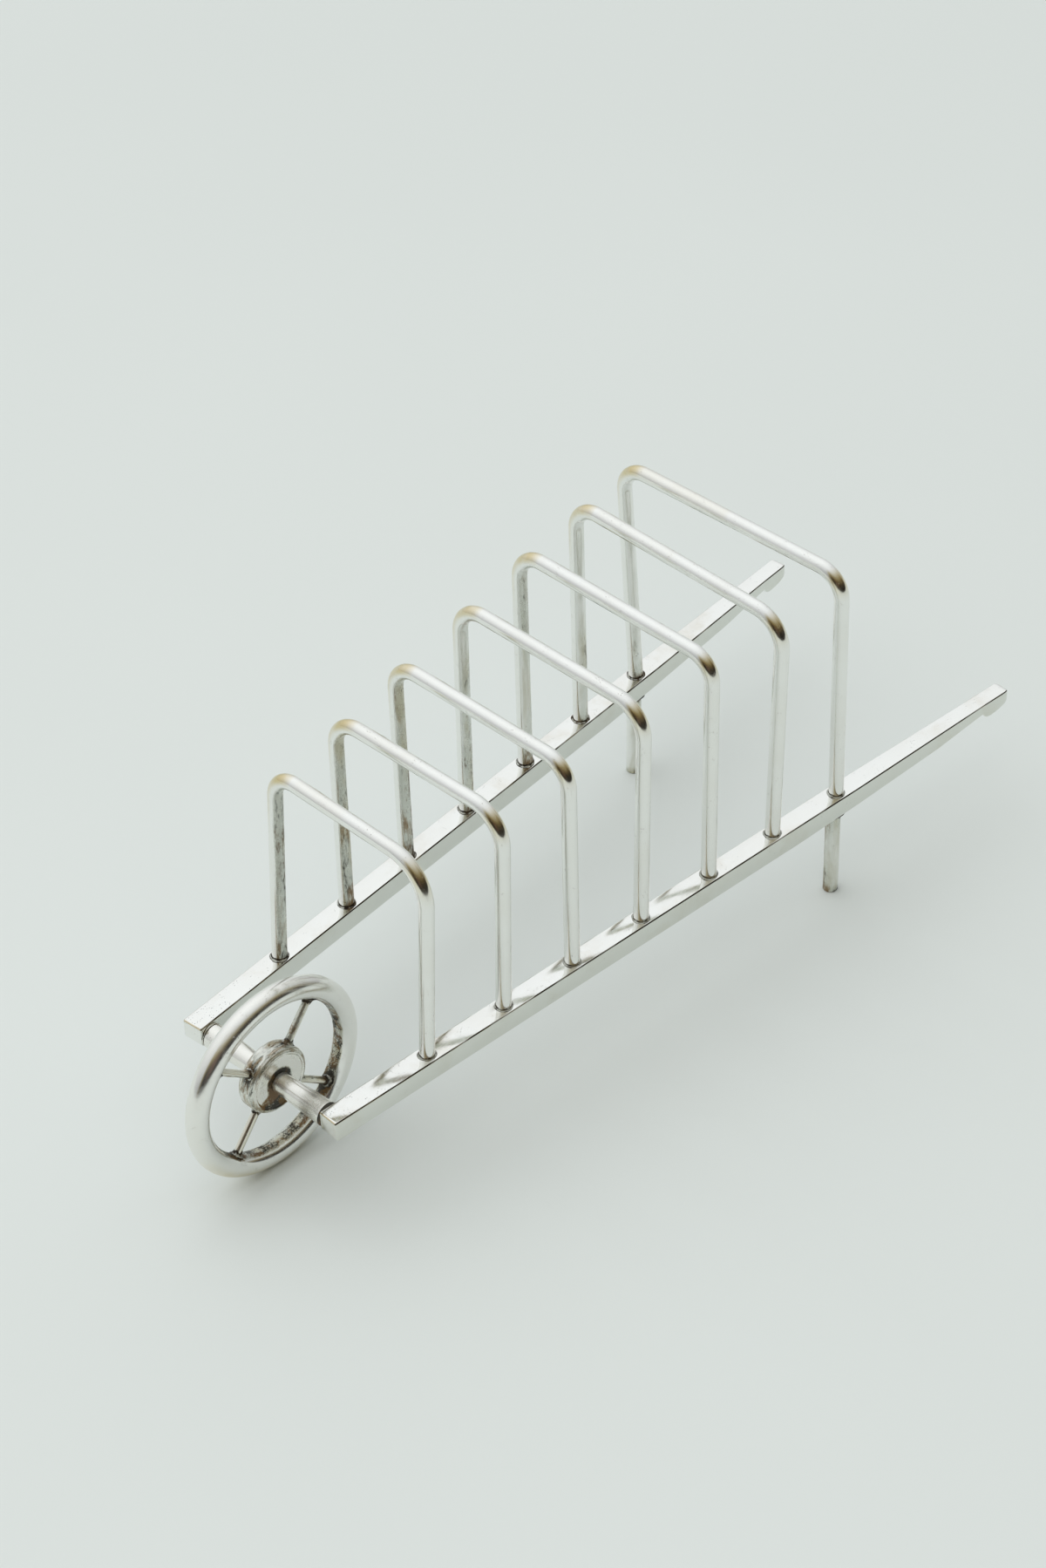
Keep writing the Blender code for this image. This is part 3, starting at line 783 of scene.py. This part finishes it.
def make_spoke(number, material, solder):
    direction = spoke_direction(number)
    aside = direction.cross(AXIS)
    rim_inside = WHEEL_RADIUS - 2 * RIM_WIRE_RADIUS
    inner, outer = HUB_RADIUS - 0.0002, rim_inside + 0.0002
    steps = 18
    rings, dull, brass, unrolled = [], [], [], []
    for step in range(steps + 1):
        along = inner + (outer - inner) * step / steps
        rings.append(ring_round(AXLE + direction * along, aside, AXIS, SPOKE_RADIUS, SPOKE_SIDES))
        ends = math.exp(-(along - inner) / SPOKE_JOINT) + math.exp(-(outer - along) / SPOKE_JOINT)
        for side in range(SPOKE_SIDES):
            turn = part_turn(side, SPOKE_SIDES)
            dull.append(min(1.2, 0.50 + 0.40 * smooth(-0.2, 0.8, math.cos(turn)) + 0.5 * ends))
            brass.append(0.35)
            unrolled.append((*on_circle(SPOKE_RADIUS, turn), along + number))
    node = f"spoke_{number + 1}"
    worn_piece(node, rings, (dull, brass, unrolled), material, "wheel", slot="worn_silver")
    hub_end = AXLE + direction * (HUB_RADIUS - 0.00015)
    rings = fillet_rings(hub_end, direction, aside, 60 + number, SPOKE_RADIUS, 0.0015, 0.0009)
    make_fillet(f"{node}_hub", rings, solder, "wheel", 0.4)
    rim_end = AXLE + direction * (rim_inside + 0.0003)
    rings = fillet_rings(rim_end, -direction, -aside, 70 + number, SPOKE_RADIUS, 0.0017, 0.0013)
    make_fillet(f"{node}_rim", rings, solder, "wheel", 0.5)


def make_arm(side, material):
    """A trumpet from the hub to the rail; the left one ends in a band of painted shade, set in a
    little.
    """
    root = HUB_HALF_WIDTH - 0.0001
    rail_face = half_span(AXLE_X) - RAIL_SIZE / 2 + side * WHEEL_TOWARDS_LEFT
    tip = rail_face - (GAP if side == LEFT else SEAT_GAP) - ARM_END_RADIUS * RAIL_SPLAY
    flare = ARM_END_RADIUS - ARM_ROOT_RADIUS
    steps = 30
    profile = []
    for step in range(steps + 1):
        share = step / steps
        foot = 0.00012 * math.exp(-(tip - root) * share / 0.0004)
        radius = ARM_ROOT_RADIUS + flare * share**ARM_FLARE_POWER + foot
        profile.append((radius, root + (tip - root) * share))
    # How far back from each arm's end the painted shade of the gap at the rail reaches: a wide band on
    # the left arm, only the end's rounded edge on the right.
    dark_end = 0.00095 if side == LEFT else ARM_EDGE
    inset = 0.00008 if side == LEFT else 0.0
    profile = [(radius, along) for radius, along in profile if along < tip - dark_end - 0.00005]
    radius = profile[-1][0]
    profile += [(radius, tip - dark_end - 0.00002), (radius - inset, tip - dark_end + 0.00002)]
    radius -= inset
    profile += [(radius, tip - ARM_EDGE)]
    for step in range(1, 5):
        angle = math.pi / 2 * step / 4
        shrink, short = ARM_EDGE * (1 - math.cos(angle)), ARM_EDGE * (1 - math.sin(angle))
        profile.append((radius - shrink, tip - short))
    profile.append((ROD_HOLE_RADIUS, tip))
    rings = turned_rings(profile, ARM_SIDES, AXLE, AXIS * side, ALONG_X)
    dull, brass, unrolled = [], [], []
    for radius, along in profile:
        # Dark at the root from tarnish, and at the end as painted shade.
        root_tarnish_and_end_shade = 2.0 if along > tip - dark_end else 1.3 * math.exp(-(along - root) / 0.0004)
        dull += [root_tarnish_and_end_shade] * ARM_SIDES
        brass += [0.10] * ARM_SIDES
        for step in range(ARM_SIDES):
            unrolled.append((*on_circle(radius, part_turn(step, ARM_SIDES)), along + side))
    node = "axle_arm_" + SIDE_NAMES[side]
    worn_piece(node, rings, (dull, brass, unrolled), material, "wheel")


def make_gap_shade(side, material):
    """Painted shade: a black ring round the axle in the gap between a rail and its arm."""
    turn = Matrix.Rotation(side * math.atan(RAIL_SPLAY), 3, "Z")
    inward = turn @ Vector((0.0, -side, 0.0))
    across = turn @ ALONG_X
    face = Vector((AXLE_X, side * half_span(AXLE_X), WHEEL_RADIUS)) + inward * (RAIL_SIZE / 2)
    outer = ARM_END_RADIUS + (0.00004 if side == LEFT else -0.0003)
    thick = 0.00025 if side == LEFT else 0.0001
    profile = [(ROD_HOLE_RADIUS, -0.0001), (outer, -0.0001), (outer, thick - 0.00005)]
    profile += [(outer - 0.00006, thick), (ROD_HOLE_RADIUS, thick)]
    rings = turned_rings(profile, GRIME_SIDES, face, inward, across)
    name = "gap_shade_" + SIDE_NAMES[side]
    mesh = loft(name, rings, {"rim": [1.6] * (GRIME_SIDES * len(profile))}, closed=True)
    new_piece(name, mesh, material, "frame", "solder")


def make_axle_fillet(material):
    """Silver filling the wedge between the right rail's slanting face and the arm's square end."""
    face = half_span(AXLE_X) - RAIL_SIZE / 2
    slant = ARM_END_RADIUS * RAIL_SPLAY
    base = Vector((AXLE_X, face, WHEEL_RADIUS))
    low, high = -slant - 0.0001, slant + 0.0001
    outer = ARM_END_RADIUS - 0.00004
    profile = [(ROD_HOLE_RADIUS, high), (outer, high), (outer, low + 0.00004)]
    profile += [(outer - 0.00004, low), (ROD_HOLE_RADIUS, low)]
    rings = turned_rings(profile, ARM_SIDES, base, AXIS, ALONG_X)
    count = ARM_SIDES * len(profile)
    values = {"dull": [0.2] * count, "brass": [0.1] * count, "unrolled": [(0.0, 0.0, 0.0)] * count}
    mesh = loft("fillet_axle_right", rings, values, closed=True)
    new_piece("fillet_axle_right", mesh, material, "frame", "silver")


# ---------------------------------------------------------------- setting


def make_floor():
    bm = bmesh.new()
    bmesh.ops.create_circle(bm, cap_ends=True, segments=96, radius=4.0)
    mesh = bpy.data.meshes.new("floor")
    bm.to_mesh(mesh)
    bm.free()
    nodes = Surface("pale_cloth")
    nodes.shader.inputs["Specular IOR Level"].default_value = 0.1
    soft = nodes.ramp(nodes.noise(5.0, 2.0), 0.3, 0.7)
    colour = nodes.mix(soft, CLOTH, LIGHTER_CLOTH)
    mesh.materials.append(nodes.finish(colour, 0.9, None, 0.0))
    floor = bpy.data.objects.new("floor", mesh)
    bpy.context.scene.collection.objects.link(floor)


LIGHT_FROM = (0.15, 0.55, 0.82)
OPEN_SIDE = (-0.20, -0.98, 0.0)
FIGURE = (-0.69, -0.724, 0.0)
FIGURE_COLOUR = (0.42, 0.25, 0.19)
# Colours from the white cloth of the tent to the dark room seen through its open side.
TENT_COLOURS = (
    (0.00, (0.975, 1.0, 1.015)), (0.14, (0.80, 0.79, 0.70)), (0.36, (0.60, 0.52, 0.31)),
    (0.68, (0.29, 0.21, 0.095)), (1.00, (0.030, 0.020, 0.013)),
)


def make_light():
    """A white tent, brightest high at the back, with a figure in a dark room at its open side."""
    world = bpy.data.worlds.new("studio")
    bpy.context.scene.world = world
    world.use_nodes = True
    nodes = Nodes(world.node_tree)
    calc, ramp = nodes.math, nodes.ramp
    split = nodes.add("ShaderNodeSeparateXYZ")
    nodes.feed(split.inputs[0], nodes.coordinates["Generated"])
    x, y, z = split.outputs

    def toward(way):
        total = calc("MULTIPLY", x, way[0])
        total = calc("MULTIPLY_ADD", y, way[1], total)
        return calc("MULTIPLY_ADD", z, way[2], total)

    tent = calc("MULTIPLY_ADD", toward(LIGHT_FROM), 0.66, 0.38)
    tent = calc("MAXIMUM", tent, 0.30)
    level = calc("SQRT", calc("MAXIMUM", calc("SUBTRACT", 1.0, calc("MULTIPLY", z, z)), 0.0001))
    side_dark = ramp(calc("DIVIDE", toward(OPEN_SIDE), level), 0.10, 0.50)
    figure_side = calc("DIVIDE", toward(FIGURE), level)
    roof = ramp(figure_side, -0.2, 0.9, 0.80, 0.93)
    under_roof = ramp(calc("SUBTRACT", roof, z), -0.05, 0.72)
    colours = nodes.add("ShaderNodeValToRGB")
    nodes.feed(colours.inputs["Fac"], calc("MULTIPLY", side_dark, under_roof, clamp=True))
    elements = colours.color_ramp.elements
    for element, (position, colour) in zip(elements, (TENT_COLOURS[0], TENT_COLOURS[-1])):
        element.position, element.color = position, (*colour, 1.0)
    for position, colour in TENT_COLOURS[1:-1]:
        elements.new(position).color = (*colour, 1.0)
    figure = calc("MULTIPLY", ramp(figure_side, 0.955, 0.99), ramp(z, 0.62, 0.40))
    figure = calc("MULTIPLY", figure, ramp(z, 0.10, 0.30, 0.0, 0.75), clamp=True)
    background = nodes.tree.nodes["Background"]
    seen = nodes.mix(figure, colours.outputs["Color"], FIGURE_COLOUR)
    nodes.feed(background.inputs["Color"], seen)
    nodes.feed(background.inputs["Strength"], tent)

    make_soft_box("roof_box", Vector((-0.30, 0.30, 0.88)), 28.0)
    make_soft_box("fill_box", Vector((-0.60, -0.35, 0.72)), 15.0)


SOFT_BOX_SIZE = 4.2
SOFT_BOX_DISTANCE = 2.7


def make_soft_box(name, way, energy):
    """A wide lamp that lights the cloth evenly without showing in the silver."""
    lamp = bpy.data.lights.new(name, "AREA")
    lamp.shape, lamp.size, lamp.energy = "DISK", SOFT_BOX_SIZE, energy
    box = bpy.data.objects.new(name, lamp)
    bpy.context.scene.collection.objects.link(box)
    box.location = way.normalized() * SOFT_BOX_DISTANCE
    box.rotation_mode = "QUATERNION"
    box.rotation_quaternion = way.to_track_quat("Z", "Y")
    box.visible_glossy = False


def make_camera():
    azimuth, elevation, roll = math.radians(-43.696), math.radians(40.96), math.radians(-2.805)
    place = Vector((-0.5497, -0.5656, 0.7343))
    level = math.cos(elevation)
    back = Vector((math.sin(azimuth) * level, -math.cos(azimuth) * level, math.sin(elevation)))
    camera = bpy.data.objects.new("camera", bpy.data.cameras.new("camera"))
    bpy.context.scene.collection.objects.link(camera)
    turn = (-back).to_track_quat("-Z", "Y").to_matrix() @ Matrix.Rotation(roll, 3, "Z")
    camera.matrix_world = Matrix.Translation(place) @ turn.to_4x4()
    camera.data.lens = 110.77
    camera.data.sensor_width = 36.0
    camera.data.clip_start, camera.data.clip_end = 0.05, 20.0
    bpy.context.scene.camera = camera


# ---------------------------------------------------------------- assembly


def main():
    bpy.context.scene.view_settings.view_transform = "Standard"
    rail = rail_silver()
    wire = wire_silver("wire_silver")
    wheel = wire_silver("wheel_silver", 0.20, 0.8, (0.95, 1.40), (1.38, 1.58), 2.0, 0.93)
    turned = wire_silver("turned_silver", 0.24, 0.8, (0.95, 1.40), (1.36, 1.54), 1.5, 0.90)
    arm = wire_silver("arm_silver", 0.21, 0.8, (0.95, 1.40), (1.38, 1.56), 1.0, 0.85)
    solder = solder_and_gap_shade()
    for side in (LEFT, RIGHT):
        make_rail(side, rail)
        make_leg(side, wire)
        make_leg_solder(side, solder)
    for number, spec in enumerate(HOOPS, start=1):
        make_hoop(number, spec, wire)
        for side in (LEFT, RIGHT):
            make_hoop_solder(number, spec[0], side, solder)
    make_rim(wheel)
    make_hub(turned)
    for number in range(SPOKE_COUNT):
        make_spoke(number, wheel, solder)
    for side in (LEFT, RIGHT):
        make_arm(side, arm)
        # Black rings of painted shade in the gaps between the rails and the arms.
        make_gap_shade(side, solder)
    make_axle_fillet(arm)
    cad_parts["axle_rod"].material_slots[0].material = solder
    make_floor()
    make_light()
    make_camera()


main()
